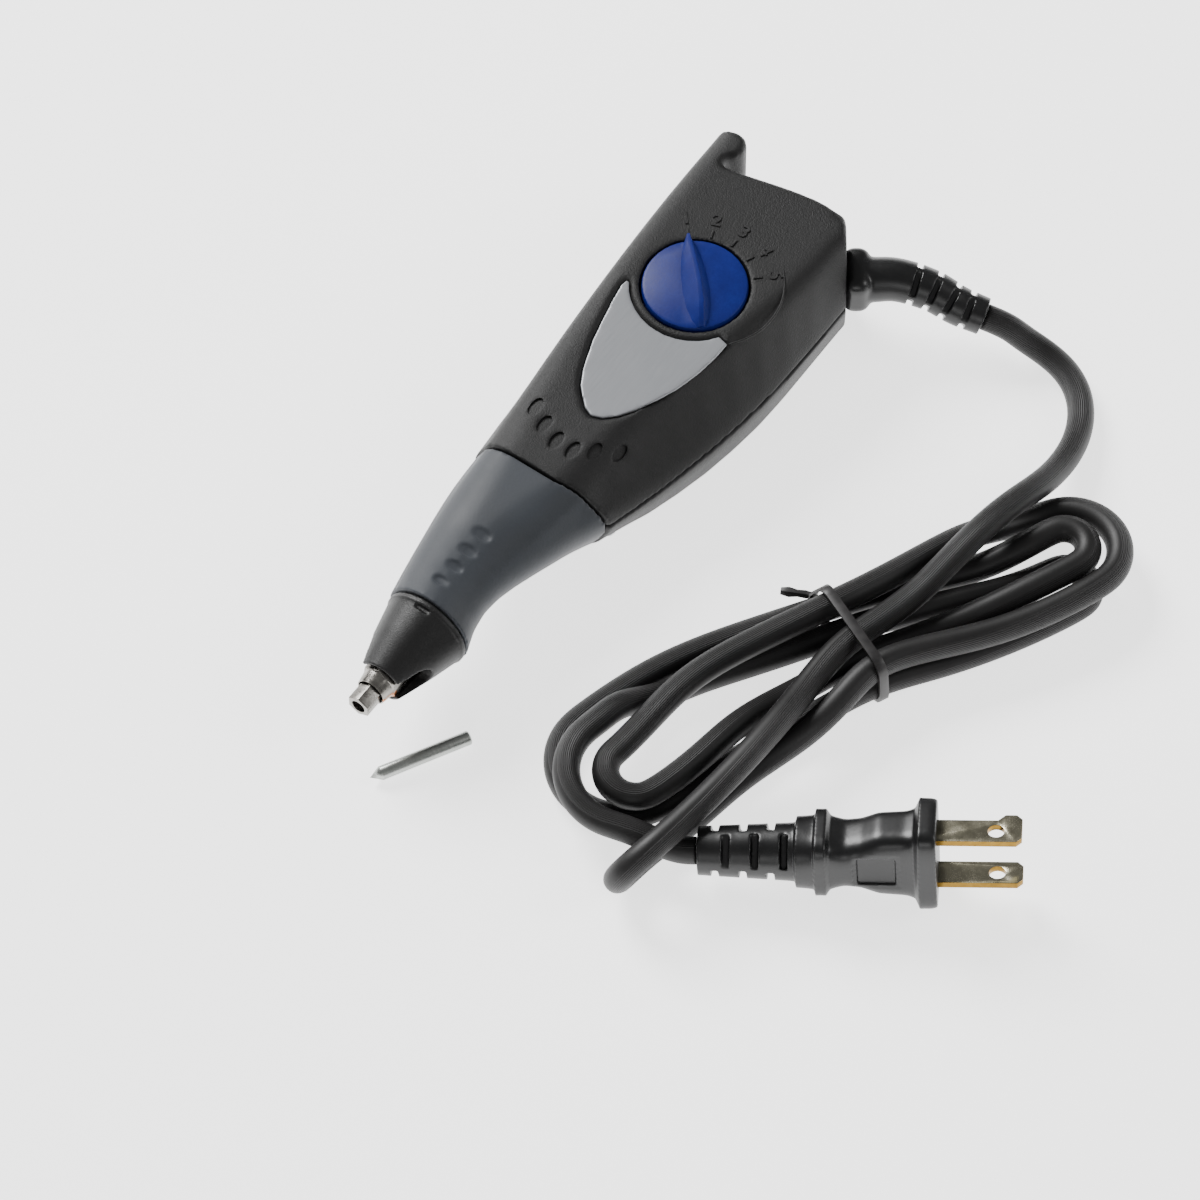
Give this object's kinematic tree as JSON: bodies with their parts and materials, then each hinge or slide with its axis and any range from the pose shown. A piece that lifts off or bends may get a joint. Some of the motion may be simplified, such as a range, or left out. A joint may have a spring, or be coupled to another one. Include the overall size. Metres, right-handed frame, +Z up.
{
  "type": "electric engraving pen",
  "caption": "Corded electric engraving pen lying on its belly: moulded black body, grey grip, blue stroke dial, hex collet nut, folded cord with flat plug and a loose point.",
  "frame": {"origin": "on the belly's flat face, straight below the stroke dial's axis", "axes": "+Z up, -Y forward along the spindle to the nose, +X towards the side where the cord leaves"},
  "size_m": [0.1598, 0.1768, 0.0338],
  "materials": {
    "black_plastic": "fine texture",
    "grey_rubber": "matte",
    "dial_blue": "satin",
    "plate_silver": "satin",
    "nut_steel": "machined",
    "steel": "machined",
    "laminated_iron": "laminated sheet",
    "bushing_bronze": "sintered",
    "winding_copper": "enamelled wire",
    "bobbin_nylon": "moulded",
    "cord_vinyl": "satin vinyl",
    "soft_rubber": "matte",
    "blade_nickel": "nickel plated",
    "wire_white": "insulation"
  },
  "bodies": {
    "pen": {"housing_upper": "black_plastic", "housing_lower": "black_plastic", "housing_screw_rear": "steel", "housing_screw_side": "steel", "housing_screw_front_left": "steel", "housing_screw_front_right": "steel", "grip": "grey_rubber", "nose_cap": "black_plastic", "badge_plate": "plate_silver", "field_core": "laminated_iron", "core_screw_left": "steel", "core_screw_right": "steel", "coil_bobbin": "bobbin_nylon", "coil_winding": "winding_copper", "pivot_pin": "steel", "return_spring": "steel", "rubber_bumper": "soft_rubber", "front_bushing": "bushing_bronze", "rear_bushing": "bushing_bronze", "engraving_point": "steel", "strain_relief": "black_plastic", "cord_clamp": "steel", "clamp_screw_left": "steel", "clamp_screw_right": "steel", "lead_wire_line": "wire_white", "lead_wire_neutral": "wire_white", "cord_lead": "cord_vinyl", "cord_hank": "cord_vinyl", "cord_tail": "cord_vinyl", "twist_tie": "soft_rubber", "plug_body": "black_plastic", "plug_blade_line": "blade_nickel", "plug_blade_neutral": "blade_nickel"},
    "dial": {"stroke_dial": "dial_blue", "dial_shaft": "steel", "dial_clip": "steel"},
    "armature": {"armature_lever": "steel", "armature_iron": "laminated_iron"},
    "striker": {"spindle": "steel", "collet": "nut_steel"},
    "nut": {"collet_nut": "nut_steel"}
  },
  "joints": [
    {"name": "stroke_dial_turn", "type": "hinge", "parent": "pen", "child": "dial", "pos_m": [0, 0, 0.0305], "axis": [0, 0, 1], "range_deg": [-90, 0]},
    {"name": "armature_rock", "type": "hinge", "parent": "pen", "child": "armature", "pos_m": [0, 0.0037, 0.006], "axis": [-1, 0, 0], "range_deg": [0, 6], "deforming": ["return_spring"]},
    {"name": "spindle_strike", "type": "slide", "parent": "pen", "child": "striker", "axis": [0, 1, 0], "range_m": [0, 0.00118], "stiffness_N_per_m": 700},
    {"name": "collet_nut_turn", "type": "hinge", "parent": "striker", "child": "nut", "pos_m": [0, -0.11, 0.0173], "axis": [0, -1, 0], "range_deg": [0, 360]}
  ],
  "couplings": [
    {"joint": "armature_rock", "follows": "spindle_strike", "rad_per_m": 88.5}
  ]
}
